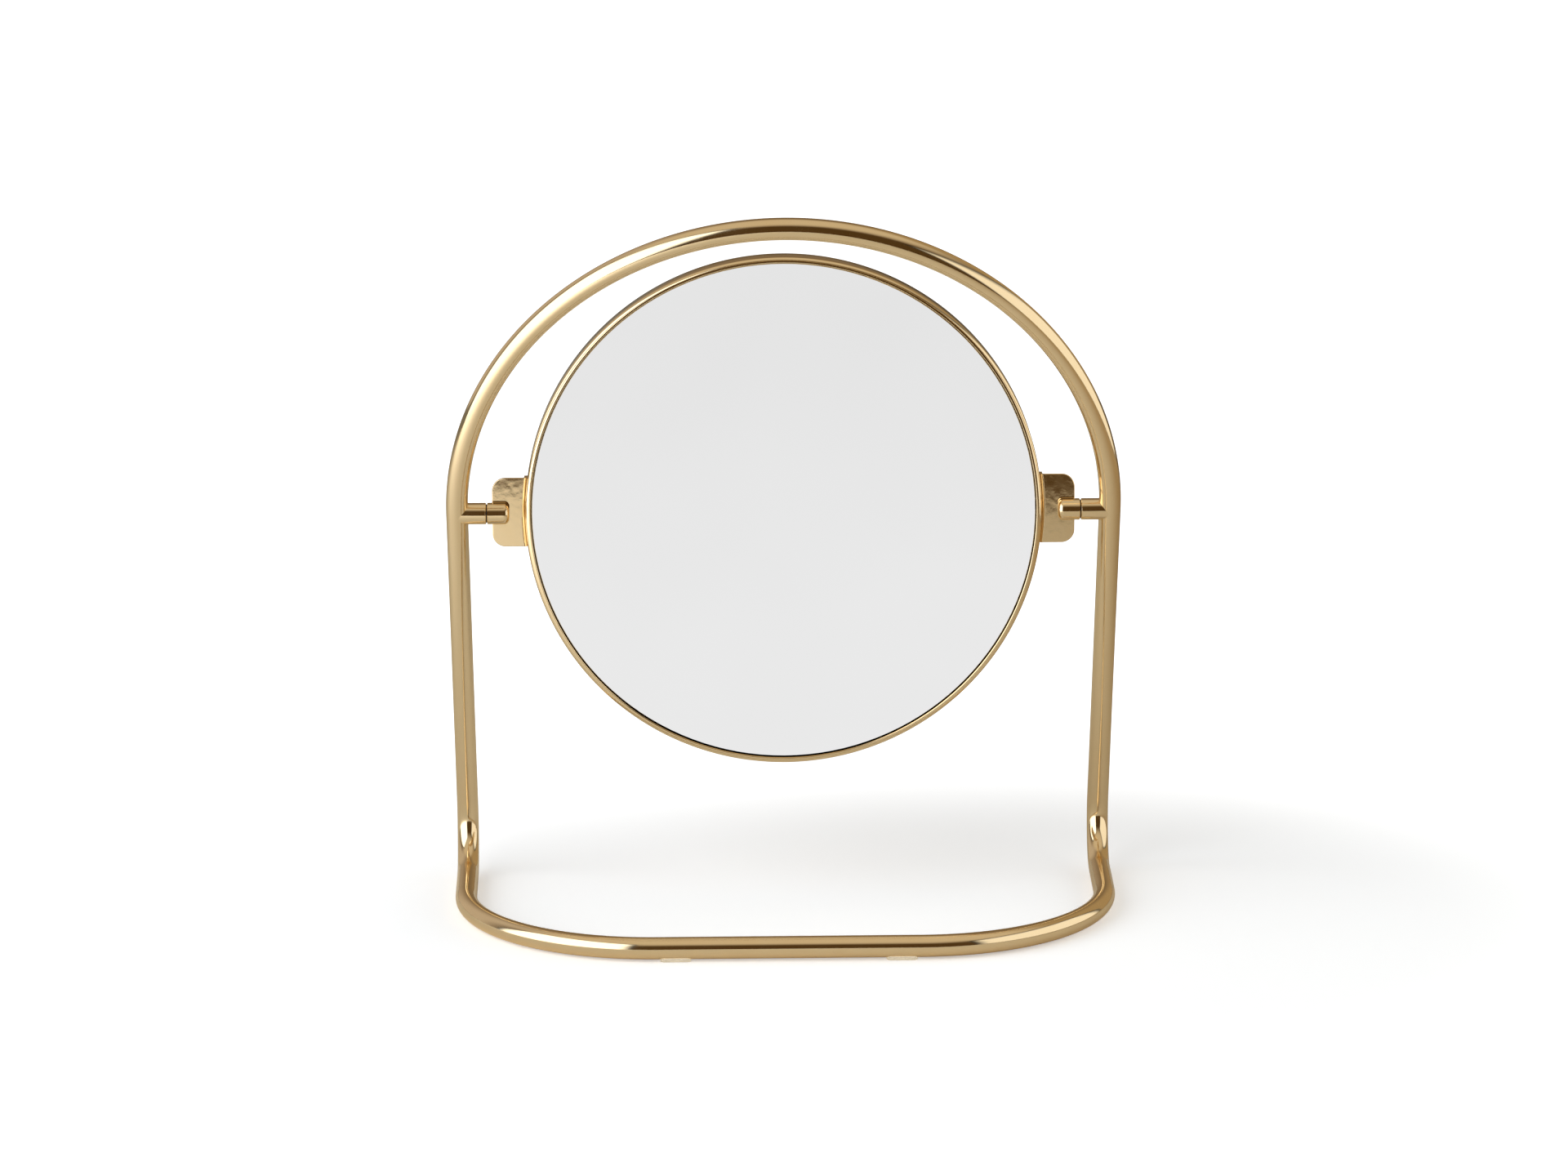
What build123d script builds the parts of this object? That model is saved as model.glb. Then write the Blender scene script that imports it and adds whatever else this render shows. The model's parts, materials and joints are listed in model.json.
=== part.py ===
from build123d import *
import os
from math import asin, cos, degrees, radians, sin, sqrt, tan

# A round table mirror that turns between the legs of a bent-tube stand.
# Millimetres. X to the right, Y away from the viewer, Z up.
# The origin is on the table, under the middle of the stand's footprint.

# Stand: one round tube bent into a closed loop
tube_dia = 10.0
tube_wall = 1.0
mirror_to_base = 62.75      # from the ring's lowest point down to the middle of the base's tube
hoop_lean = 21.0            # degrees that the hoop leans forward over its base
ankle_radius = 22.5         # centreline of the bend from leg to base
base_reach = 158.0          # from the ankles' corner forward to the front bar
base_corner_radius = 88.0
base_taper = 1.0            # degrees that each side of the base closes in towards the front
seam_sleeve_length = 40.0
seam_sleeve_wall = 1.0

# Clear pads that keep the tube off the table
pad_thickness = 0.8
pad_length = 14.0
pad_width = 6.0
pad_bend_gap = 2.0          # from the end of a bend to the nearest pad

# Pivots: a boss on each leg, a barrel on the mirror, a pin and a bush between them
pivot_dia = 9.9
boss_length = 8.25          # from the leg's surface to the joint
joint_gap = 0.5
barrel_length = 10.0
barrel_from_ring = 7.35     # from the ring's side out to the barrel's rounded end
barrel_end_round = 2.4
joint_chamfer = 0.3
pin_dia = 3.0
pin_in_barrel = 4.6
pin_in_boss = 6.4
pin_end_chamfer = 0.4
bush_wall = 1.2
bush_flange_dia = 8.4
bush_flange_thickness = 0.35
bush_bottom_gap = 0.3       # between the end of the bush and the bottom of its bore
spigot_dia = 6.0
spigot_reach = 1.0          # past the tube's inner wall

# Mirror: glass bonded into a flat ring with a plate behind
glass_dia = 230.0
glass_thickness = 3.0
glass_edge_chamfer = 0.3
glass_edge_gap = 0.4
glass_recess = 1.9
rim_wall = 2.5
rim_depth = 12.0
rim_front_ahead = 3.8       # the ring's front ahead of the pivot axis
rim_outer_round = 2.0
rim_inner_round = 0.3
rim_back_chamfer = 0.4
plate_thickness = 1.0
plate_ledge = 1.4
plate_inset = 0.2
tape_thickness = 0.5
tape_margin = 3.0           # the tape and the board stop this far inside the glass's edge

# Brackets: an ear let into the back of the barrel and a flange bent back along the ring
bracket_thickness = 1.5
bracket_height = 32.0
bracket_bend_radius = 0.2   # inside of the bend
ear_behind_axis = 1.9       # from the pivot axis back to the ear's front face
ear_overlap = 7.8           # how far the ear reaches behind the barrel, from the barrel's end
ear_corner_radius = 6.0
ear_edge_round = 0.4
ear_shoulder_gap = 0.1      # from the ear's outer edge to the shoulder of the barrel
flange_inset = 0.5          # from the ring's back
screw_dia = 3.0
screw_head_dia = 5.5
screw_from_barrel_end = 3.2
screw_depth = 5.0           # into the barrel, from its flat
screw_socket = 2.0
screw_socket_depth = 1.1
rivet_dia = 2.4
rivet_head_dia = 3.6
rivet_spacing = 18.0
rivet_from_ear = 3.1        # from the ear's front face back to the rivets

# Clearances
running_clearance = 0.03    # pin in bush, on the radius
seat_clearance = 0.02       # pressed, brazed and screwed joints, on the radius
plate_clearance = 0.05
sleeve_clearance = 0.05

tube_radius = tube_dia / 2
bore_radius = tube_radius - tube_wall
pivot_radius = pivot_dia / 2
pin_radius = pin_dia / 2

# Radii of the mirror
glass_radius = glass_dia / 2
rim_inner_radius = glass_radius + glass_edge_gap
rim_outer_radius = rim_inner_radius + rim_wall
plate_seat_radius = rim_inner_radius + plate_ledge
flange_outer_radius = rim_outer_radius + bracket_thickness
rivet_angle = degrees(asin(rivet_spacing / 2 / rim_outer_radius))

# Places along the pivot axis, from the mirror's middle outwards
barrel_end_x = rim_outer_radius + barrel_from_ring
ear_outer_x = barrel_end_x + ear_overlap
screw_x = barrel_end_x + screw_from_barrel_end
barrel_face_x = barrel_end_x + barrel_length
boss_face_x = barrel_face_x + joint_gap
hoop_radius = boss_face_x + boss_length + tube_radius    # also half the leg spacing

# Lines of the stand
lean = radians(hoop_lean)
leg_length = (rim_outer_radius + mirror_to_base) / cos(lean)    # up to the start of the half round
taper = radians(base_taper)
axis_height = pad_thickness + tube_radius
ankle_tangent = ankle_radius * tan((radians(90) + lean) / 2)
rear_of_bend = ankle_tangent - ankle_radius - tube_radius
front_of_bar = base_reach + tube_radius
ankle_y = (rear_of_bend + front_of_bar) / 2
front_y = ankle_y - base_reach
leg_direction = Vector(0, -sin(lean), cos(lean))
side_direction = Vector(-sin(taper), -cos(taper), 0)

ankle_corner = Vector(hoop_radius, ankle_y, axis_height)
leg_top = ankle_corner + leg_direction * leg_length
base_corner = Vector(hoop_radius - base_reach * tan(taper), front_y, axis_height)
bar_middle = Vector(0, front_y, axis_height)
pivot_centre = Vector(0, leg_top.Y, leg_top.Z)
hoop_top = pivot_centre + leg_direction * hoop_radius

# Places through the mirror, from the pivot axis backwards
rim_front_y = -rim_front_ahead
rim_back_y = rim_front_y + rim_depth
glass_front_y = rim_front_y + glass_recess
glass_back_y = glass_front_y + glass_thickness
board_front_y = glass_back_y + tape_thickness
plate_back_y = rim_back_y - plate_inset
plate_front_y = plate_back_y - plate_thickness
board_back_y = plate_front_y - tape_thickness
ear_front_y = ear_behind_axis
ear_back_y = ear_front_y + bracket_thickness
flange_back_y = rim_back_y - flange_inset
rivet_y = ear_front_y + rivet_from_ear

os.makedirs("parts", exist_ok=True)


def save(shape, node):
    export_step(shape, f"parts/{node}.step")


def save_pair(shape, name):
    """The right-hand piece and its mirror image on the left."""
    save(shape, f"{name}_right")
    save(mirror(shape, about=Plane.YZ), f"{name}_left")


def rod_x(radius, start, end, y=0.0, z=0.0):
    """A round bar along X between two places."""
    return extrude(Plane((start, y, z), z_dir=(1, 0, 0)) * Circle(radius), end - start)


def rod_y(radius, start, end, x=0.0, z=0.0):
    """A round bar along Y between two places."""
    return extrude(Plane((x, start, z), x_dir=(1, 0, 0), z_dir=(0, 1, 0)) * Circle(radius), end - start)


def disc(radius, start, end):
    """A round disc about the mirror's middle line."""
    return rod_y(radius, start, end)


def at_pivot(shape):
    """A piece modelled about the pivot axis, moved to its place in the stand."""
    return Pos(*pivot_centre) * shape


def along(edge, section):
    """A section carried along one straight or curved edge."""
    return sweep(Plane(edge @ 0, z_dir=edge % 0) * section, path=edge)


# Stand tube: half of the loop is drawn from the front bar's middle to the half round
half_route = FilletPolyline(
    bar_middle, base_corner, ankle_corner, leg_top,
    radius=[base_corner_radius, ankle_radius],
)
leg_top_left = Vector(-leg_top.X, leg_top.Y, leg_top.Z)
hoop_route = ThreePointArc(leg_top, hoop_top, leg_top_left)
tube_section = Circle(tube_radius) - Circle(bore_radius)
half_runs = [along(edge, tube_section) for edge in half_route.edges()]
half_loop = half_runs[0].fuse(*half_runs[1:])
hoop = along(hoop_route, tube_section)
stand_tube = hoop.fuse(half_loop, mirror(half_loop, about=Plane.YZ))

# Each leg has a cross hole on its inner side for the spigot of its boss
spigot_radius = spigot_dia / 2
spigot_hole = at_pivot(rod_x(spigot_radius + seat_clearance, boss_face_x, hoop_radius))
stand_tube = stand_tube - spigot_hole - mirror(spigot_hole, about=Plane.YZ)
save(stand_tube, "stand_tube")

# Sleeve inside the front bar, where the two ends of the bent tube meet
sleeve_radius = bore_radius - sleeve_clearance
sleeve_span = (-seam_sleeve_length / 2, seam_sleeve_length / 2)
sleeve = rod_x(sleeve_radius, *sleeve_span, front_y, axis_height)
sleeve -= rod_x(sleeve_radius - seam_sleeve_wall, *sleeve_span, front_y, axis_height)
save(sleeve, "seam_sleeve")


# Foot pads, cupped to the underside of the tube
def foot_pad(place, direction):
    """A flat-bottomed pad under the tube, at a place on its centreline."""
    run = Plane(place, z_dir=direction)
    base = Plane((place.X, place.Y, 0), x_dir=direction, z_dir=(0, 0, 1))
    block = extrude(base * RectangleRounded(pad_length, pad_width, pad_width / 3), axis_height)
    tube = extrude(run * Circle(tube_radius), pad_length, both=True)
    above = Pos(place.X, place.Y, 0) * Box(
        pad_length * 2, pad_length * 2, axis_height,
        align=(Align.CENTER, Align.CENTER, Align.MIN),
    )
    cup_height = axis_height - sqrt(tube_radius**2 - (pad_width / 2) ** 2)
    return block - tube - Pos(0, 0, cup_height) * above


pad_from_bend = pad_bend_gap + pad_length / 2
corner_tangent = base_corner_radius * tan((radians(90) - taper) / 2)
rear_pad_place = ankle_corner + side_direction * (ankle_tangent + pad_from_bend)
front_pad_place = base_corner - Vector(corner_tangent + pad_from_bend, 0, 0)
save_pair(foot_pad(rear_pad_place, side_direction), "foot_pad_rear")
save_pair(foot_pad(front_pad_place, Vector(1, 0, 0)), "foot_pad_front")

# Pivot boss, coped to the leg and brazed on, with a spigot through the tube's wall
bush_radius = pin_radius + running_clearance + bush_wall
bush_seat_radius = bush_radius + seat_clearance
bush_length = pin_in_boss - joint_gap + bush_bottom_gap
spigot_end_x = hoop_radius - bore_radius + spigot_reach
boss = rod_x(pivot_radius, boss_face_x, hoop_radius)
boss = chamfer(boss.edges().group_by(Axis.X)[0], joint_chamfer)
boss = at_pivot(boss)
for edge in (half_route.edges()[-1], hoop_route.edge()):
    boss -= along(edge, Circle(tube_radius))
boss += at_pivot(rod_x(spigot_radius, boss_face_x + boss_length / 2, spigot_end_x))
boss -= at_pivot(rod_x(bush_seat_radius, boss_face_x, boss_face_x + bush_length + bush_bottom_gap))
save_pair(boss, "pivot_boss")

# Friction bush, pressed into the boss, with its flange in the joint
bush = rod_x(bush_radius, boss_face_x, boss_face_x + bush_length)
bush += rod_x(bush_flange_dia / 2, boss_face_x - bush_flange_thickness, boss_face_x)
bush -= rod_x(pin_radius + running_clearance, barrel_face_x, boss_face_x + bush_length)
save_pair(at_pivot(bush), "friction_bush")

# Pivot pin, pressed into the barrel and turning in the bush
pin = rod_x(pin_radius, barrel_face_x - pin_in_barrel, barrel_face_x + pin_in_boss)
pin = chamfer(pin.edges().filter_by(GeomType.CIRCLE), pin_end_chamfer)
save_pair(at_pivot(pin), "pivot_pin")

# Pivot barrel, with a rounded inner end and a flat at the back that the ear lies in
screw_radius = screw_dia / 2
screw_tip_y = ear_front_y - screw_depth
barrel = rod_x(pivot_radius, barrel_end_x, barrel_face_x)
barrel = fillet(barrel.edges().group_by(Axis.X)[0], barrel_end_round)
barrel = chamfer(barrel.edges().group_by(Axis.X)[-1], joint_chamfer)
barrel -= Pos(ear_outer_x + ear_shoulder_gap, ear_front_y, 0) * Box(
    barrel_length, pivot_dia, pivot_dia, align=(Align.MAX, Align.MIN, Align.CENTER)
)
barrel -= rod_x(pin_radius + seat_clearance, barrel_face_x - pin_in_barrel, barrel_face_x)
barrel -= rod_y(screw_radius + seat_clearance, screw_tip_y, ear_front_y, x=screw_x)
save_pair(at_pivot(barrel), "pivot_barrel")


def countersunk(radius, head_radius, face, tip):
    """Shank and conical head with its flat top at the face, as one turned profile."""
    toward_tip = 1 if tip > face else -1
    cone_end = face + toward_tip * (head_radius - radius)
    outline = Polyline((0, face), (head_radius, face), (radius, cone_end), (radius, tip), (0, tip), close=True)
    return revolve(make_face(outline), Axis.Y)


# Bracket screw, from behind through the ear into the barrel
screw = countersunk(screw_radius, screw_head_dia / 2, ear_back_y, screw_tip_y)
socket = Plane((0, ear_back_y, 0), z_dir=(0, -1, 0)) * RegularPolygon(screw_socket / 2, 6, major_radius=False)
screw -= extrude(socket, screw_socket_depth)
screw_seat = countersunk(
    screw_radius + seat_clearance, screw_head_dia / 2 + seat_clearance, ear_back_y, screw_tip_y
)
save_pair(at_pivot(Pos(screw_x, 0, 0) * screw), "bracket_screw")


# Rivets join the bracket's flange to the ring, heads inside
def rivets(clearance):
    """Two rivets at their places, grown by a clearance for their holes."""
    flush = countersunk(
        rivet_dia / 2 + clearance, rivet_head_dia / 2 + clearance, rim_inner_radius, flange_outer_radius
    )
    pair = []
    for angle in (-rivet_angle, rivet_angle):
        pair.append(Rot(0, angle, 0) * Pos(0, rivet_y, 0) * Rot(0, 0, -90) * flush)
    return pair


rivet_pair = rivets(0.0)
rivet_holes = rivets(seat_clearance)
save_pair(at_pivot(Compound(rivet_pair)), "bracket_rivets")

# Bracket: the ear, and the flange that is bent back from it and curved to the ring
bend_end_radius = flange_outer_radius + 2 * bracket_bend_radius
ear_face = Plane((0, ear_front_y, 0), x_dir=(1, 0, 0), z_dir=(0, 1, 0)) * Pos(ear_outer_x / 2, 0) * Rectangle(
    ear_outer_x, bracket_height
)
ear = extrude(ear_face, bracket_thickness)
ear_corners = ear.edges().filter_by(Axis.Y).group_by(Axis.X)[-1]
ear = fillet(ear_corners, ear_corner_radius)
ear = fillet(ear.edges().group_by(Axis.Y)[0] + ear.edges().group_by(Axis.Y)[-1], ear_edge_round)
ear -= disc(bend_end_radius, ear_front_y, ear_back_y)
flange_section = make_face(
    Polyline(
        (rim_outer_radius, ear_front_y),
        (bend_end_radius, ear_front_y),
        (bend_end_radius, ear_back_y),
        (flange_outer_radius, ear_back_y),
        (flange_outer_radius, flange_back_y),
        (rim_outer_radius, flange_back_y),
        close=True,
    )
)
bend_outside = flange_section.vertices().sort_by_distance((rim_outer_radius, ear_front_y))[0]
flange_section = fillet(bend_outside, bracket_bend_radius + bracket_thickness)
bend_inside = flange_section.vertices().sort_by_distance((flange_outer_radius, ear_back_y))[0]
flange_section = fillet(bend_inside, bracket_bend_radius)
flange = revolve(flange_section, Axis.Y)
flange &= Pos(0, ear_front_y, 0) * Box(
    hoop_radius, flange_back_y - ear_front_y, bracket_height, align=(Align.MIN, Align.MIN, Align.CENTER)
)
bracket = ear + flange
bracket -= Pos(screw_x, 0, 0) * screw_seat
for hole in rivet_holes:
    bracket -= hole
save_pair(at_pivot(bracket), "bracket")

# Ring round the glass, with a ledge at the back for the plate
section = make_face(
    Polyline(
        (rim_inner_radius, rim_front_y),
        (rim_outer_radius, rim_front_y),
        (rim_outer_radius, rim_back_y),
        (plate_seat_radius, rim_back_y),
        (plate_seat_radius, plate_front_y),
        (rim_inner_radius, plate_front_y),
        close=True,
    )
)
section = fillet(section.vertices().group_by(Axis.Y)[0].sort_by(Axis.X)[-1], rim_outer_round)
section = fillet(section.vertices().group_by(Axis.Y)[0].sort_by(Axis.X)[0], rim_inner_round)
section = chamfer(section.vertices().group_by(Axis.Y)[-1].sort_by(Axis.X)[-1], rim_back_chamfer)
rim = revolve(section, Axis.Y)
for hole in rivet_holes:
    rim -= hole
    rim -= mirror(hole, about=Plane.YZ)
save(at_pivot(rim), "mirror_rim")

# Glass, the board behind it, their two sheets of tape and the closing plate
board_radius = glass_radius - tape_margin
glass = disc(glass_radius, glass_front_y, glass_back_y)
glass = chamfer(glass.edges(), glass_edge_chamfer)
save(at_pivot(glass), "mirror_glass")
save(at_pivot(disc(board_radius, glass_back_y, board_front_y)), "glass_tape")
save(at_pivot(disc(board_radius, board_front_y, board_back_y)), "backing_board")
save(at_pivot(disc(board_radius, board_back_y, plate_front_y)), "board_tape")
save(at_pivot(disc(plate_seat_radius - plate_clearance, plate_front_y, plate_back_y)), "back_plate")

# Facts for the record
print("pivot centre", pivot_centre)
print("top", hoop_top.Z + tube_radius * cos(lean), "rear pad y", rear_pad_place.Y)
print("tube", stand_tube.is_valid, len(stand_tube.solids()), stand_tube.volume)
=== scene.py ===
import json
import math

import bmesh
import bpy
from mathutils import Matrix, Quaternion, Vector


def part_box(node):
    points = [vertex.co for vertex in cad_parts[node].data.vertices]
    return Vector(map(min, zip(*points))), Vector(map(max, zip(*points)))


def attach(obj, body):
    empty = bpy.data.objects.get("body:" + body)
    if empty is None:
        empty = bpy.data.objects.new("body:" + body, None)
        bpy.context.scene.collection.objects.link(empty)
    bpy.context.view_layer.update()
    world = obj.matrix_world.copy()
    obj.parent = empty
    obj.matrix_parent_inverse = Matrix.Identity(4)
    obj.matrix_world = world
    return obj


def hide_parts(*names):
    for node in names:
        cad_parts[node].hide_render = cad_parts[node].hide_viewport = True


bl_info = {
    "name": "Tilting table mirror",
    "version": (1, 0, 0),
    "blender": (4, 5, 0),
    "location": "3D View > Sidebar > Table mirror",
    "description": "Makes and dresses a round brass table mirror and sets up its studio",
    "category": "Object",
}

MM = 0.001
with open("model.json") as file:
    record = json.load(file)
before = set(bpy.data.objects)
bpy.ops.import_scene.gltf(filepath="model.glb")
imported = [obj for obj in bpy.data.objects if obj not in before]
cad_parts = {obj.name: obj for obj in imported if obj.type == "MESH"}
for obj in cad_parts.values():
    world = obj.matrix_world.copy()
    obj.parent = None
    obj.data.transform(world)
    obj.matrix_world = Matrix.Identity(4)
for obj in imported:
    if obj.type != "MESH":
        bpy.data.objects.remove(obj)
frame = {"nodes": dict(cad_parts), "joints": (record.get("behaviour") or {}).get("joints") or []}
bpy.context.view_layer.update()
pivot = Vector(frame["joints"][0]["pos_m"])

# where the softboxes stand: azimuth 0 is behind the object, 90 to the right of it
KEY_AZIMUTH = 236.5
KEY_DISTANCE = 1.15
FILL_AZIMUTH = 101.5
FILL_DISTANCE = 0.8
# the studio in the brass: its dark front, its ceiling, and the wall behind the object from left to right
DARK_FRONT = "543F22"
CEILING = "D8CAB2"
WALL_LEFT = "C9BDAF"
WALL_MIDDLE = "837159"
WALL_RIGHT = "AE9873"
# grey that light comes from for the white paper, and the even grey that the mirror glass shows, painted on
# the paper as its reflection
ROOM_ON_PAPER = 0.22
SEEN_IN_GLASS = 0.9
# paper as the viewer sees it: a little brighter than real paper, so that it reads white in soft light
PAPER_SEEN = (1.06, 1.075, 1.09, 1.0)
# front edge of the table, as y at x = 0 and as its slope over x
TABLE_EDGE = -0.88
TABLE_EDGE_SLOPE = 0.19

# the photograph's own view: place from the pivots' middle in metres, and turns in radians
CAMERA_PLACE = Vector((-0.040655, -2.472355, 0.53692))
CAMERA_YAW = 0.016435
CAMERA_DOWN = 0.22767
CAMERA_ROLL = -0.0043743
CAMERA_LENS = 127.25

# smallest gap that counts as two points, and the half size of the spot in which a corner is looked for
DOUBLES = 0.002 * MM
CORNER_SPOT = 0.05 * MM
BRASS_EDGE = "FFF9EE"


def srgb(code):
    """Linear colour of an sRGB hex value, with full alpha."""
    channels = [int(code[i:i + 2], 16) / 255 for i in (0, 2, 4)]
    return [c / 12.92 if c <= 0.04045 else ((c + 0.055) / 1.055) ** 2.4 for c in channels] + [1.0]


class StandSettings(bpy.types.PropertyGroup):
    """Sizes of the bent-tube stand."""
    tube_diameter: bpy.props.FloatProperty(
        name="Tube diameter", description="Outside diameter of the bent tube",
        default=10 * MM, unit="LENGTH")
    lean: bpy.props.FloatProperty(
        name="Lean", description="How far the hoop leans forward over its base",
        default=math.radians(21), subtype="ANGLE")
    ankle_radius: bpy.props.FloatProperty(
        name="Ankle radius", description="Bend from leg to base, along the middle of the tube",
        default=22.5 * MM, unit="LENGTH")
    corner_radius: bpy.props.FloatProperty(
        name="Corner radius", description="Bend at the front of the base, along the middle of the tube",
        default=88 * MM, unit="LENGTH")
    taper: bpy.props.FloatProperty(
        name="Taper", description="How far each side of the base closes in towards the front",
        default=math.radians(1), subtype="ANGLE")


class RingSettings(bpy.types.PropertyGroup):
    """Section of the ring round the glass."""
    wall: bpy.props.FloatProperty(
        name="Wall", description="Width of the ring's front", default=2.5 * MM, unit="LENGTH")
    ledge: bpy.props.FloatProperty(
        name="Ledge", description="Width of the step that the back plate sits on",
        default=1.4 * MM, unit="LENGTH")
    outer_round: bpy.props.FloatProperty(
        name="Outer round", description="Rounding of the front's outer edge",
        default=2 * MM, unit="LENGTH")
    inner_round: bpy.props.FloatProperty(
        name="Inner round", description="Rounding of the front's inner edge",
        default=0.3 * MM, unit="LENGTH")
    back_chamfer: bpy.props.FloatProperty(
        name="Back chamfer", description="Chamfer of the back's outer edge",
        default=0.4 * MM, unit="LENGTH")


class FinishSettings(bpy.types.PropertyGroup):
    """Colours of the finishes."""
    brass: bpy.props.FloatVectorProperty(
        name="Brass", description="Colour of the lacquered brass", size=4,
        default=srgb("ECD8B4"), subtype="COLOR", min=0, max=1)
    polish: bpy.props.FloatProperty(
        name="Polish", description="Roughness of the polished brass", default=0.1, min=0, max=1)


class StudioSettings(bpy.types.PropertyGroup):
    """Light of the studio."""
    key: bpy.props.FloatProperty(
        name="Key", description="Radiance of the large softbox on the left", default=2.25)
    fill: bpy.props.FloatProperty(
        name="Fill", description="Radiance of the softbox on the right", default=1.15)


# Selecting and shaping


def add_node(tree, kind, links=None, **settings):
    """Adds a node, sets its own settings, and sets or links its inputs."""
    node = tree.nodes.new(kind)
    for name, value in settings.items():
        setattr(node, name, value)
    for name, value in (links or {}).items():
        socket = node.inputs[name]
        if isinstance(value, bpy.types.NodeSocket):
            tree.links.new(value, socket)
        else:
            socket.default_value = value
    return node


def settle(piece):
    """Moves a new primitive's place and turn into its mesh, and opens it for editing."""
    bpy.ops.object.transform_apply(location=True, rotation=True, scale=True)
    bpy.ops.object.mode_set(mode="EDIT")
    bpy.ops.mesh.select_all(action="SELECT")
    return piece


def pick(piece, kind, test):
    """In edit mode, selects only the vertices, edges or faces that pass a test."""
    bpy.ops.mesh.select_all(action="DESELECT")
    bpy.ops.mesh.select_mode(type=kind)
    mesh = bmesh.from_edit_mesh(piece.data)
    for item in {"VERT": mesh.verts, "EDGE": mesh.edges, "FACE": mesh.faces}[kind]:
        item.select_set(test(item))
    mesh.select_flush_mode()
    bmesh.update_edit_mesh(piece.data)


def close_up(piece, smooth_angle):
    """Merges doubles, turns the faces outwards, leaves edit mode and smooths the shading."""
    bpy.ops.mesh.select_mode(type="VERT")
    bpy.ops.mesh.select_all(action="SELECT")
    bpy.ops.mesh.remove_doubles(threshold=DOUBLES)
    bpy.ops.mesh.normals_make_consistent(inside=False)
    bpy.ops.object.mode_set(mode="OBJECT")
    bpy.ops.object.shade_smooth_by_angle(angle=smooth_angle)


def run(distance):
    """Extrudes the selected end of a tube straight on."""
    bpy.ops.mesh.extrude_region_move(TRANSFORM_OT_translate={"value": distance})


def tangent(before, after, radius):
    """Distance from a corner to the start of its bend."""
    return radius * math.tan(before.angle(after) / 2)


def bend(corner, before, after, radius, steps):
    """Spins the selected end of a tube from one direction into the next."""
    start = corner - before * tangent(before, after, radius)
    axis = before.cross(after).normalized()
    middle = start + axis.cross(before) * radius
    bpy.ops.mesh.spin(steps=steps, angle=-before.angle(after), center=middle, axis=axis)


# Pieces


class TABLEMIRROR_OT_stand_tube(bpy.types.Operator):
    """Stand tube: one round tube bent through the base, the ankles, the legs and the hoop"""
    bl_idname = "table_mirror.stand_tube"
    bl_label = "Stand tube"

    def execute(self, context):
        stand = context.scene.table_mirror_stand
        low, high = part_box("stand_tube")
        tube_radius = stand.tube_diameter / 2
        hoop_radius = high[0] - tube_radius
        front = low[1] + tube_radius
        height = low[2] + tube_radius
        ankle = Vector((hoop_radius, pivot.y + math.tan(stand.lean) * (pivot.z - height), height))
        corner = Vector((hoop_radius - (ankle.y - front) * math.tan(stand.taper), front, height))
        across = Vector((1, 0, 0))
        back = (ankle - corner).normalized()
        rise = Vector((0, -math.sin(stand.lean), math.cos(stand.lean)))
        corner_start = tangent(across, back, stand.corner_radius)
        ankle_start = tangent(back, rise, stand.ankle_radius)
        bpy.ops.object.select_all(action="DESELECT")
        bpy.ops.mesh.primitive_circle_add(
            vertices=72, radius=tube_radius, location=(0, front, height), rotation=(0, math.pi / 2, 0))
        tube = settle(context.object)
        tube.name = "bent_stand_tube"
        run(across * (corner.x - corner_start))
        bend(corner, across, back, stand.corner_radius, 48)
        run(back * ((ankle - corner).length - corner_start - ankle_start))
        bend(ankle, back, rise, stand.ankle_radius, 48)
        hoop_start = pivot + across * hoop_radius
        run(rise * ((hoop_start - ankle).length - ankle_start))
        bend(hoop_start + rise * hoop_radius, rise, -across, hoop_radius, 80)
        bpy.ops.object.mode_set(mode="OBJECT")
        half = tube.modifiers.new("left_half", "MIRROR")
        half.merge_threshold = 0.01 * MM
        bpy.ops.object.modifier_apply(modifier=half.name)
        bpy.ops.object.mode_set(mode="EDIT")
        close_up(tube, math.radians(40))
        tube.data.materials.append(polished_brass(context, "polished_brass_tube", 30, 0.00002))
        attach(tube, "stand")
        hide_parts("stand_tube")
        return {"FINISHED"}


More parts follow.
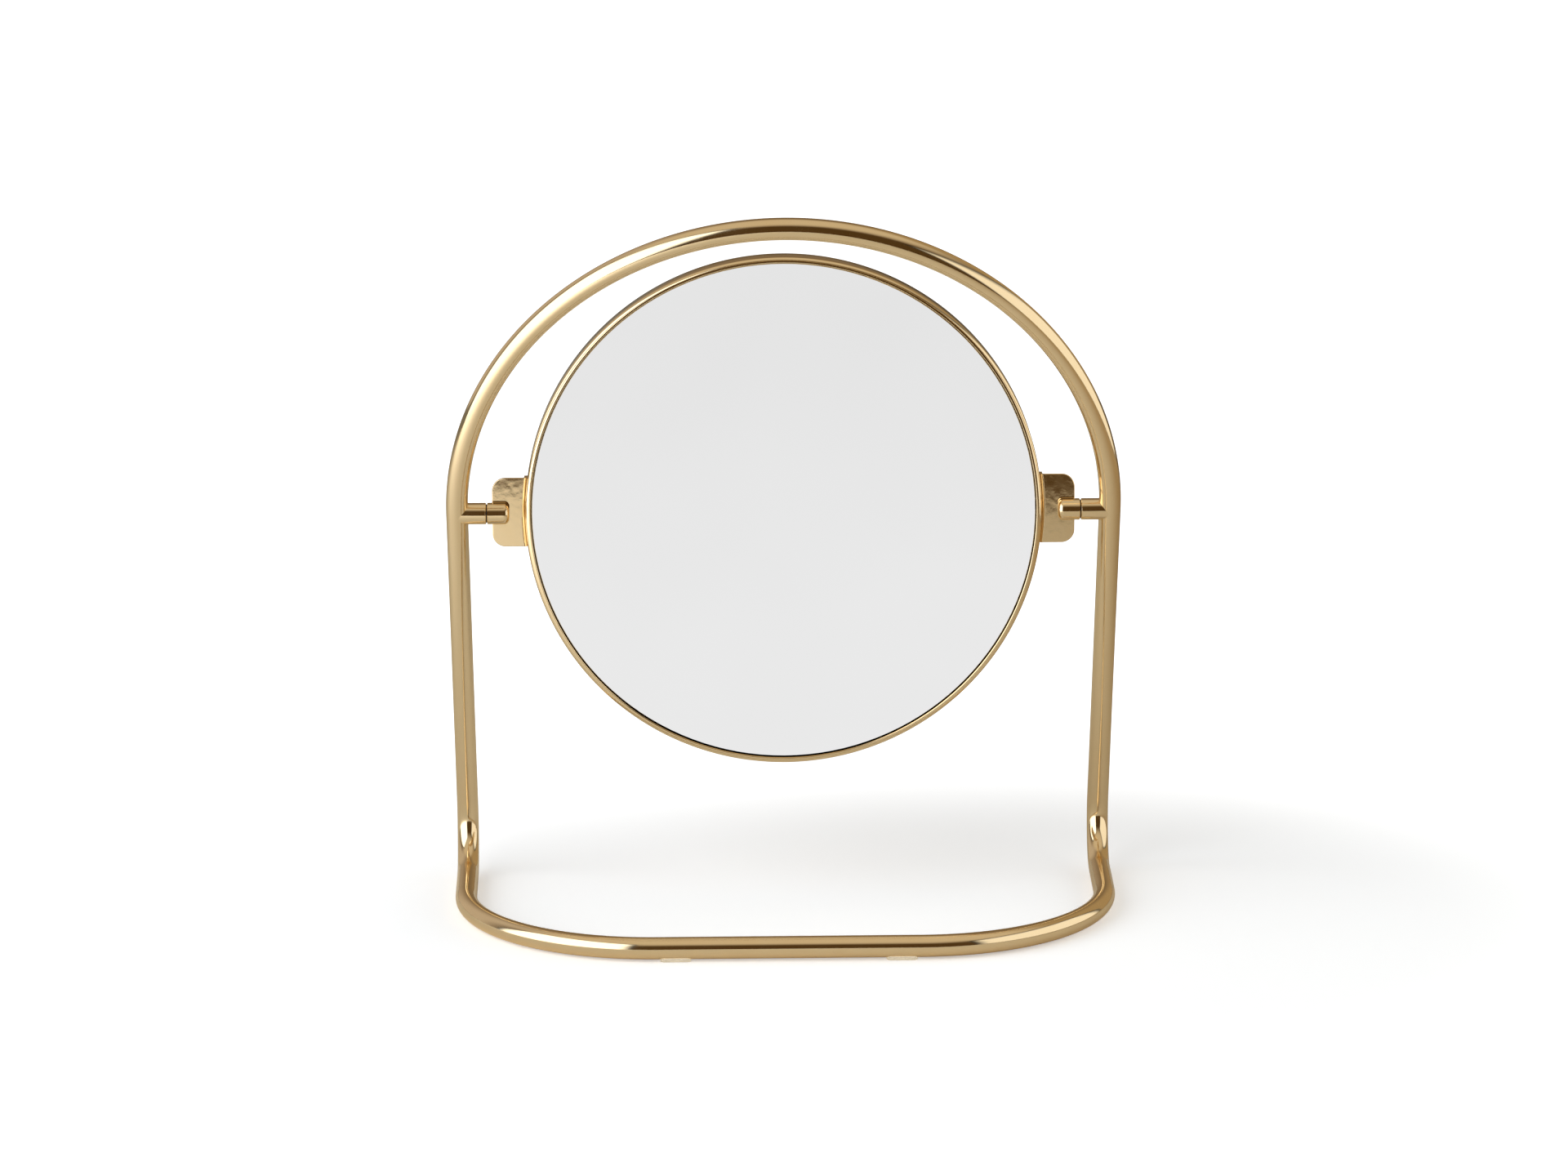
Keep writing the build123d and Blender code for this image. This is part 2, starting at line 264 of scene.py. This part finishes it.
class TABLEMIRROR_OT_ring(bpy.types.Operator):
    """Ring: the spun section that holds the glass, with a step at the back for the plate"""
    bl_idname = "table_mirror.ring"
    bl_label = "Ring"

    def execute(self, context):
        ring = context.scene.table_mirror_ring
        low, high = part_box("mirror_rim")
        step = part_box("back_plate")[0][1]
        outer = high[0]
        depth = high[1] - low[1]
        inner = outer - ring.wall
        section_middle = Vector((outer - ring.wall / 2, (low[1] + high[1]) / 2, pivot.z))
        bpy.ops.object.select_all(action="DESELECT")
        bpy.ops.mesh.primitive_plane_add(size=ring.wall, location=section_middle)
        rim = settle(context.object)
        rim.name = "spun_ring"
        bpy.ops.transform.resize(value=(1, depth / ring.wall, 1), center_override=section_middle)
        cuts = (((inner + ring.ledge, 0, pivot.z), (1, 0, 0)), ((0, step, pivot.z), (0, 1, 0)))
        for place, normal in cuts:
            bpy.ops.mesh.select_all(action="SELECT")
            bpy.ops.mesh.bisect(plane_co=place, plane_no=normal)
        pick(rim, "FACE", lambda f: f.calc_center_median().x < inner + ring.ledge
             and f.calc_center_median().y > step)
        bpy.ops.mesh.delete(type="FACE")
        bpy.ops.mesh.select_all(action="SELECT")
        bpy.ops.mesh.dissolve_limited(angle_limit=math.radians(1))
        rounds = ((outer, low[1], ring.outer_round, 12), (inner, low[1], ring.inner_round, 5),
                  (outer, high[1], ring.back_chamfer, 2))
        for x, y, size, segments in rounds:
            pick(rim, "VERT", lambda v: (v.co.xy - Vector((x, y))).length < CORNER_SPOT)
            bpy.ops.mesh.bevel(offset=size, segments=segments, affect="VERTICES")
        bpy.ops.mesh.select_mode(type="VERT")
        bpy.ops.mesh.select_all(action="SELECT")
        bpy.ops.mesh.delete(type="ONLY_FACE")
        bpy.ops.mesh.select_all(action="SELECT")
        bpy.ops.mesh.spin(steps=360, angle=2 * math.pi, center=pivot, axis=(0, 1, 0))
        close_up(rim, math.radians(32))
        rim.data.materials.append(polished_brass(context, "polished_brass_ring", 24, 0.00001))
        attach(rim, "mirror")
        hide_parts("mirror_rim")
        return {"FINISHED"}


# Finishes


def new_material(name):
    """An empty node material of that name, with its tree and its output node."""
    material = bpy.data.materials.new(name)
    material.use_nodes = True
    material.node_tree.nodes.clear()
    return material, material.node_tree, add_node(material.node_tree, "ShaderNodeOutputMaterial")


def noise(tree, millimetres, detail=2.0, stretch=(1, 1, 1)):
    """Noise on Object coordinates whose lumps are about that many millimetres across."""
    place = add_node(tree, "ShaderNodeTexCoord")
    spread = add_node(tree, "ShaderNodeMapping", {"Vector": place.outputs["Object"], "Scale": stretch})
    return add_node(tree, "ShaderNodeTexNoise", {
        "Vector": spread.outputs[0], "Scale": 1 / (millimetres * MM), "Detail": detail}).outputs["Fac"]


def spread_over(tree, factor, low, high):
    """A value that runs from low to high as the factor runs over its middle range."""
    return add_node(tree, "ShaderNodeMapRange", {
        "Value": factor, "From Min": 0.3, "From Max": 0.7, "To Min": low, "To Max": high}).outputs[0]


def eased(tree, value, start, end, low=0.0, high=1.0):
    """A smooth step of a value, from low at start to high at end."""
    return add_node(tree, "ShaderNodeMapRange", {
        "Value": value, "From Min": start, "From Max": end, "To Min": low, "To Max": high,
    }, interpolation_type="SMOOTHSTEP").outputs[0]


def times(tree, first, second):
    """The product of two values."""
    return add_node(tree, "ShaderNodeMath", {0: first, 1: second}, operation="MULTIPLY").outputs[0]


def bump(tree, height, distance, normal=None):
    """Relief that a height gives, at a distance in metres."""
    links = {"Height": height, "Distance": distance}
    if normal is not None:
        links["Normal"] = normal
    return add_node(tree, "ShaderNodeBump", links).outputs[0]


def tint(tree, factor, low, high):
    """A colour between two colours."""
    mixed = add_node(tree, "ShaderNodeMix", {0: factor, 6: low, 7: high}, data_type="RGBA")
    return mixed.outputs[2]


def polished_brass(context, name, wave, relief):
    """Yellow brass, buffed and clear-lacquered: a warm mirror with faint waves and buffing marks."""
    finish = context.scene.table_mirror_finish
    material, tree, output = new_material(name)
    wipe = noise(tree, 9.0, 4.0, (1, 1, 0.35))
    warm = [c * d for c, d in zip(finish.brass, (0.97, 0.94, 0.88, 1))]
    # waves of the drawn metal, then the buffing wheel's finer marks
    waves = bump(tree, noise(tree, wave), relief)
    marks = bump(tree, noise(tree, 1.1, 3.0, (1, 1, 0.2)), 0.0000006, waves)
    shader = add_node(tree, "ShaderNodeBsdfPrincipled", {
        "Base Color": tint(tree, wipe, warm, finish.brass),
        "Metallic": 1.0,
        "Roughness": spread_over(tree, wipe, finish.polish * 0.8, finish.polish * 1.25),
        "Specular Tint": srgb(BRASS_EDGE),
        "Normal": marks})
    tree.links.new(shader.outputs[0], output.inputs["Surface"])
    return material


def pressed_brass(context):
    """Brass plate, cut and lightly buffed: less flat than the tube, its reflections break up."""
    finish = context.scene.table_mirror_finish
    material, tree, output = new_material("buffed_brass_plate")
    dented = bump(tree, noise(tree, 0.9, 1.0), 0.000003, bump(tree, noise(tree, 2.6, 0.0), 0.000011))
    patina = noise(tree, 6.0, 3.0)
    warm = [c * d for c, d in zip(finish.brass, (0.95, 0.91, 0.84, 1))]
    shader = add_node(tree, "ShaderNodeBsdfPrincipled", {
        "Base Color": tint(tree, patina, warm, finish.brass),
        "Metallic": 1.0,
        "Roughness": spread_over(tree, patina, 0.05, 0.08),
        "Specular Tint": srgb(BRASS_EDGE),
        "Normal": dented})
    tree.links.new(shader.outputs[0], output.inputs["Surface"])
    return material


def brushed_brass(context):
    """Brass sheet, brushed on a lathe: fine rings round its middle, with a soft sheen."""
    finish = context.scene.table_mirror_finish
    material, tree, output = new_material("brushed_brass_sheet")
    place = add_node(tree, "ShaderNodeTexCoord")
    middle = add_node(tree, "ShaderNodeMapping", {"Vector": place.outputs["Object"], "Location": -pivot})
    flat = add_node(
        tree, "ShaderNodeVectorMath", {0: middle.outputs[0], 1: (1, 0, 1)}, operation="MULTIPLY")
    radius = add_node(
        tree, "ShaderNodeVectorMath", {0: flat.outputs[0]}, operation="LENGTH").outputs["Value"]
    # real brush marks are a tenth of a millimetre apart: drawn at 0.6 mm, so that they show
    rings = add_node(tree, "ShaderNodeTexNoise", {
        "W": radius, "Scale": 1 / (0.6 * MM), "Detail": 3.0}, noise_dimensions="1D").outputs["Fac"]
    warm = [c * d for c, d in zip(finish.brass, (0.88, 0.84, 0.76, 1))]
    shader = add_node(tree, "ShaderNodeBsdfPrincipled", {
        "Base Color": tint(tree, rings, warm, finish.brass),
        "Metallic": 1.0,
        "Roughness": spread_over(tree, rings, 0.26, 0.4),
        "Specular Tint": srgb(BRASS_EDGE),
        "Normal": bump(tree, rings, 0.00001)})
    tree.links.new(shader.outputs[0], output.inputs["Surface"])
    return material


def silvered_glass():
    """Float glass, silvered behind: a flat neutral mirror, with the faintest unevenness in its silver."""
    material, tree, output = new_material("silvered_float_glass")
    cloud = noise(tree, 60.0, 1.0)
    shader = add_node(tree, "ShaderNodeBsdfPrincipled", {
        "Base Color": tint(tree, cloud, srgb("F3F3F3"), srgb("F6F6F6")), "Metallic": 1.0, "Roughness": 0.0})
    tree.links.new(shader.outputs[0], output.inputs["Surface"])
    return material


def clear_silicone():
    """Clear silicone, moulded: see-through, with a faint haze."""
    material, tree, output = new_material("clear_silicone")
    haze = noise(tree, 1.5, 2.0)
    shader = add_node(tree, "ShaderNodeBsdfPrincipled", {
        "Base Color": tint(tree, haze, srgb("F4F3F0"), srgb("FAF9F7")),
        "Roughness": spread_over(tree, haze, 0.1, 0.2),
        "IOR": 1.41,
        "Transmission Weight": 1.0})
    tree.links.new(shader.outputs[0], output.inputs["Surface"])
    return material


def turned_metal(name, light, dark, rough, mark):
    """Metal bar, turned or drawn: fine marks across it and a dull shine."""
    material, tree, output = new_material(name)
    lines = noise(tree, mark, 3.0, (6, 1, 1))
    shader = add_node(tree, "ShaderNodeBsdfPrincipled", {
        "Base Color": tint(tree, lines, srgb(dark), srgb(light)),
        "Metallic": 1.0,
        "Roughness": spread_over(tree, lines, rough * 0.8, rough * 1.3),
        "Normal": bump(tree, lines, 0.000006)})
    tree.links.new(shader.outputs[0], output.inputs["Surface"])
    return material


def dull_solid(name, light, dark, rough, grain, relief):
    """Plastic, foam or board: matt, with a fine grain in its colour and its surface."""
    material, tree, output = new_material(name)
    speck = noise(tree, grain, 3.0)
    shader = add_node(tree, "ShaderNodeBsdfPrincipled", {
        "Base Color": tint(tree, speck, srgb(dark), srgb(light)),
        "Roughness": spread_over(tree, speck, rough * 0.9, min(rough * 1.15, 1.0)),
        "Normal": bump(tree, speck, relief)})
    tree.links.new(shader.outputs[0], output.inputs["Surface"])
    return material


def dress(material, *nodes):
    """Gives CAD nodes a material."""
    for name in nodes:
        for slot in frame["nodes"][name].material_slots:
            slot.material = material


def both(name):
    """The node names of a left and right pair."""
    return name + "_left", name + "_right"


class TABLEMIRROR_OT_finishes(bpy.types.Operator):
    """Finishes of the pieces that keep their own mesh"""
    bl_idname = "table_mirror.finishes"
    bl_label = "Finishes"

    def execute(self, context):
        dress(polished_brass(context, "polished_brass_pivots", 6, 0.000002),
              *both("pivot_boss"), *both("pivot_barrel"))
        dress(pressed_brass(context), *both("bracket"))
        dress(brushed_brass(context), "back_plate")
        dress(silvered_glass(), "mirror_glass")
        dress(clear_silicone(), *both("foot_pad_front"), *both("foot_pad_rear"))
        # brass wire, filed flush with the flange
        dress(turned_metal("filed_brass_rivet", "DCC490", "BFA56F", 0.28, 0.8), *both("bracket_rivets"))
        # steel with a thin brass plating, turned under the head
        dress(turned_metal("brass_plated_steel", "D3BE8C", "A98F5B", 0.22, 0.5), *both("bracket_screw"))
        dress(turned_metal("ground_steel", "C9C9CC", "A9A9AD", 0.16, 0.4), *both("pivot_pin"))
        dress(turned_metal("drawn_steel", "9B9B9D", "77777A", 0.35, 1.2), "seam_sleeve")
        dress(dull_solid("black_acetal", "2B2724", "1D1A18", 0.42, 0.6, 0.000008), *both("friction_bush"))
        dress(dull_solid("closed_cell_foam", "D2D0CB", "B4B2AC", 0.9, 0.5, 0.00006),
              "glass_tape", "board_tape")
        dress(dull_solid("pressed_hardboard", "8A6647", "6A4A31", 0.75, 0.9, 0.00003), "backing_board")
        return {"FINISHED"}


# Studio


def direction(azimuth):
    """Level unit vector; azimuth 0 looks away from the viewer, 90 to the right."""
    angle = math.radians(azimuth)
    return Vector((math.sin(angle), math.cos(angle), 0))


def kinds_of_ray(tree):
    """Three switches: what the viewer sees directly, in the mirror glass, and in the brass."""
    path = add_node(tree, "ShaderNodeLightPath").outputs
    direct = add_node(tree, "ShaderNodeMath", {
        0: path["Is Camera Ray"], 1: path["Is Transmission Ray"]}, operation="MAXIMUM").outputs[0]
    # 1.5 lies between the first bounce and the second
    first = add_node(
        tree, "ShaderNodeMath", {0: path["Ray Depth"], 1: 1.5}, operation="LESS_THAN").outputs[0]
    sharp = add_node(tree, "ShaderNodeMath", {0: path["Is Singular Ray"], 1: direct},
                     operation="SUBTRACT", use_clamp=True).outputs[0]
    in_glass = times(tree, sharp, first)
    in_brass = add_node(tree, "ShaderNodeMath", {0: path["Is Glossy Ray"], 1: in_glass},
                        operation="SUBTRACT", use_clamp=True).outputs[0]
    return direct, in_glass, in_brass


def cloth_light(name, radiance, colour, width, tall):
    """Diffuser cloth lit from behind: brightest in its middle, soft towards its edges."""
    material, tree, output = new_material(name)
    place = add_node(tree, "ShaderNodeTexCoord")
    split = add_node(tree, "ShaderNodeSeparateXYZ", {"Vector": place.outputs["Object"]})
    across = add_node(tree, "ShaderNodeMath", {0: split.outputs["X"]}, operation="ABSOLUTE").outputs[0]
    up = split.outputs["Y"]
    sides = eased(tree, across, width / 2, width * 0.36)
    top = eased(tree, up, tall / 2, tall * 0.2, 0.1, 1.0)
    strength = times(tree, times(tree, sides, top), radiance)
    glow = add_node(tree, "ShaderNodeEmission", {"Color": srgb(colour), "Strength": strength})
    behind = add_node(tree, "ShaderNodeNewGeometry").outputs["Backfacing"]
    one_side = add_node(tree, "ShaderNodeMixShader", {"Fac": behind, 1: glow.outputs[0]})
    dark = add_node(tree, "ShaderNodeEmission", {"Strength": 0.0})
    tree.links.new(dark.outputs[0], one_side.inputs[2])
    tree.links.new(one_side.outputs[0], output.inputs["Surface"])
    return material


def softbox(name, azimuth, distance, half_angle, low, high, radiance, colour):
    """A tall softbox that stands at an azimuth round the object and faces it."""
    width = 2 * distance * math.tan(math.radians(half_angle))
    tall = high - low
    place = direction(azimuth) * distance
    place.z = (low + high) / 2
    facing = (-direction(azimuth)).to_track_quat("Z", "Y")
    bpy.ops.mesh.primitive_plane_add(size=1, location=place, rotation=facing.to_euler())
    panel = bpy.context.object
    panel.name = name
    panel.scale = (width, tall, 1)
    bpy.ops.object.transform_apply(location=False, rotation=False, scale=True)
    panel.data.materials.append(cloth_light(name + "_cloth", radiance, colour, width, tall))
    panel.visible_camera = False
    panel.visible_shadow = False


def floor_paper():
    """White seamless paper: white for the viewer, a painted even grey in the mirror glass, warm in the
    brass with painted shade and a painted pool of light.
    """
    material, tree, output = new_material("white_seamless_paper")
    direct, in_glass, in_brass = kinds_of_ray(tree)
    place = add_node(tree, "ShaderNodeNewGeometry").outputs["Position"]
    split = add_node(tree, "ShaderNodeSeparateXYZ", {"Vector": place})
    # in the brass the paper is warm, with painted shade that darkens it towards the right, and it
    # ends at the table's front edge, where the dark of the studio begins
    warm = tint(tree, eased(tree, split.outputs["X"], 0.0, 0.6), srgb("FFF6E3"), srgb("CDB591"))
    paper = add_node(tree, "ShaderNodeBsdfDiffuse", {"Color": tint(tree, in_brass, PAPER_SEEN, warm)})
    slant = add_node(
        tree, "ShaderNodeMath", {0: split.outputs["X"], 1: -TABLE_EDGE_SLOPE, 2: split.outputs["Y"]},
        operation="MULTIPLY_ADD").outputs[0]
    beyond = eased(tree, slant, TABLE_EDGE, TABLE_EDGE - 0.03)
    studio = add_node(tree, "ShaderNodeEmission", {"Color": srgb(DARK_FRONT), "Strength": 1.0})
    # a pool of light is painted on the paper round the foot of the key softbox, seen only in the brass
    key_foot = direction(KEY_AZIMUTH) * KEY_DISTANCE
    to_key = add_node(tree, "ShaderNodeVectorMath", {0: place, 1: key_foot}, operation="DISTANCE")
    painted_key_pool = add_node(tree, "ShaderNodeEmission", {
        "Strength": times(tree, eased(tree, to_key.outputs["Value"], 1.03, 0.3, 0.0, 1.15), in_brass)})
    lit = add_node(tree, "ShaderNodeAddShader", {0: paper.outputs[0], 1: painted_key_pool.outputs[0]})
    for_brass = add_node(tree, "ShaderNodeMixShader", {
        "Fac": times(tree, beyond, in_brass), 1: lit.outputs[0], 2: studio.outputs[0]})
    # for the viewer the paper rises to white away from the object, and keeps the object's shadow
    narrowed = add_node(tree, "ShaderNodeVectorMath", {0: place, 1: (1, 1.4, 1)}, operation="MULTIPLY")
    away = add_node(tree, "ShaderNodeVectorMath", {0: narrowed.outputs[0], 1: (0.07, -0.04, 0)},
                    operation="DISTANCE")
    lift = add_node(tree, "ShaderNodeEmission", {
        "Strength": eased(tree, away.outputs["Value"], 0.22, 0.6, 0.36, 1.0)})
    lifted = add_node(tree, "ShaderNodeAddShader", {0: paper.outputs[0], 1: lift.outputs[0]})
    viewed = add_node(
        tree, "ShaderNodeMixShader", {"Fac": direct, 1: for_brass.outputs[0], 2: lifted.outputs[0]})
    # in the mirror glass the paper is a painted reflection: an even grey glow, with painted shade that
    # makes it a little greyer far in front of the object
    painted_glass_shade = eased(tree, split.outputs["Y"], -1.6, -0.3, 0.86, SEEN_IN_GLASS)
    even = add_node(tree, "ShaderNodeEmission", {"Strength": painted_glass_shade})
    last = add_node(
        tree, "ShaderNodeMixShader", {"Fac": in_glass, 1: viewed.outputs[0], 2: even.outputs[0]})
    tree.links.new(last.outputs[0], output.inputs["Surface"])
    return material


def surroundings():
    """A dim warm studio under a pale ceiling; white for the viewer's own rays and in the mirror glass."""
    world = bpy.data.worlds.new("studio_surroundings")
    world.use_nodes = True
    tree = world.node_tree
    tree.nodes.clear()
    output = add_node(tree, "ShaderNodeOutputWorld")
    place = add_node(tree, "ShaderNodeTexCoord")
    split = add_node(tree, "ShaderNodeSeparateXYZ", {"Vector": place.outputs["Generated"]})
    x, y, z = split.outputs
    ceiling = eased(tree, z, math.sin(math.radians(30)), math.sin(math.radians(64)))
    room = tint(tree, ceiling, srgb(DARK_FRONT), srgb(CEILING))
    # a warm wall stands behind the object, dimmest behind its middle
    behind = times(tree, eased(tree, y, 0.0, 0.5), eased(tree, z, 1.0, 0.68))
    wall = tint(tree, eased(tree, x, -0.6, 0.0), srgb(WALL_LEFT), srgb(WALL_MIDDLE))
    wall = tint(tree, eased(tree, x, 0.1, 0.45), wall, srgb(WALL_RIGHT))
    room = tint(tree, behind, room, wall)
    direct, in_glass, in_brass = kinds_of_ray(tree)
    seen = tint(tree, in_brass, [ROOM_ON_PAPER] * 3 + [1.0], room)
    seen = tint(tree, in_glass, seen, [SEEN_IN_GLASS] * 3 + [1.0])
    seen = tint(tree, direct, seen, (1.0, 1.0, 1.0, 1.0))
    sky = add_node(tree, "ShaderNodeBackground", {"Color": seen, "Strength": 1.0})
    tree.links.new(sky.outputs[0], output.inputs["Surface"])
    return world


def place_camera(context):
    """The photograph's own view, found from the outline of the stand and the ring."""
    data = bpy.data.cameras.new("photograph_view")
    data.sensor_width = 36.0
    data.lens = CAMERA_LENS
    data.clip_end = 100
    camera = bpy.data.objects.new("photograph_view", data)
    context.collection.objects.link(camera)
    level = math.cos(CAMERA_DOWN)
    ahead = Vector((math.sin(CAMERA_YAW) * level, math.cos(CAMERA_YAW) * level, -math.sin(CAMERA_DOWN)))
    side = Quaternion(ahead, -CAMERA_ROLL) @ ahead.cross(Vector((0, 0, 1))).normalized()
    turn = Matrix((side, side.cross(ahead), -ahead)).transposed().to_4x4()
    camera.matrix_world = Matrix.Translation(pivot + CAMERA_PLACE) @ turn
    context.scene.camera = camera


class TABLEMIRROR_OT_stage(bpy.types.Operator):
    """Floor, surroundings, softboxes and camera"""
    bl_idname = "table_mirror.stage"
    bl_label = "Stage"

    def execute(self, context):
        studio = context.scene.table_mirror_studio
        bpy.ops.object.select_all(action="DESELECT")
        bpy.ops.mesh.primitive_plane_add(size=60)
        floor = context.object
        floor.name = "studio_floor"
        floor.data.materials.append(floor_paper())
        context.scene.world = surroundings()
        softbox("key_softbox", KEY_AZIMUTH, KEY_DISTANCE, 41.5, 0.0, 1.9, studio.key, "FBFDFF")
        softbox("fill_softbox", FILL_AZIMUTH, FILL_DISTANCE, 44.5, 0.02, 0.9, studio.fill, "FFFBF2")
        place_camera(context)
        return {"FINISHED"}


# Panel and registration


class TABLEMIRROR_PT_panel(bpy.types.Panel):
    """The pieces of the table mirror, in the order in which they are made"""
    bl_label = "Table mirror"
    bl_idname = "TABLEMIRROR_PT_panel"
    bl_space_type = "VIEW_3D"
    bl_region_type = "UI"
    bl_category = "Table mirror"

    def draw(self, context):
        for settings in SETTINGS:
            group = getattr(context.scene, "table_mirror_" + settings)
            for name in group.bl_rna.properties.keys():
                if name not in ("rna_type", "name"):
                    self.layout.prop(group, name)
        for step in STEPS:
            self.layout.operator(step.bl_idname)


STEPS = (TABLEMIRROR_OT_stand_tube, TABLEMIRROR_OT_ring, TABLEMIRROR_OT_finishes, TABLEMIRROR_OT_stage)
SETTINGS = {
    "stand": StandSettings, "ring": RingSettings, "finish": FinishSettings, "studio": StudioSettings}


def register():
    for each in (*SETTINGS.values(), *STEPS, TABLEMIRROR_PT_panel):
        bpy.utils.register_class(each)
    for name, group in SETTINGS.items():
        setattr(bpy.types.Scene, "table_mirror_" + name, bpy.props.PointerProperty(type=group))


def unregister():
    for name in SETTINGS:
        delattr(bpy.types.Scene, "table_mirror_" + name)
    for each in (*SETTINGS.values(), *STEPS, TABLEMIRROR_PT_panel):
        bpy.utils.unregister_class(each)


def main():
    register()
    bpy.ops.table_mirror.stand_tube()
    bpy.ops.table_mirror.ring()
    bpy.ops.table_mirror.finishes()
    bpy.ops.table_mirror.stage()
    bpy.context.scene.view_settings.view_transform = "Standard"


if __name__ == "__main__":
    main()
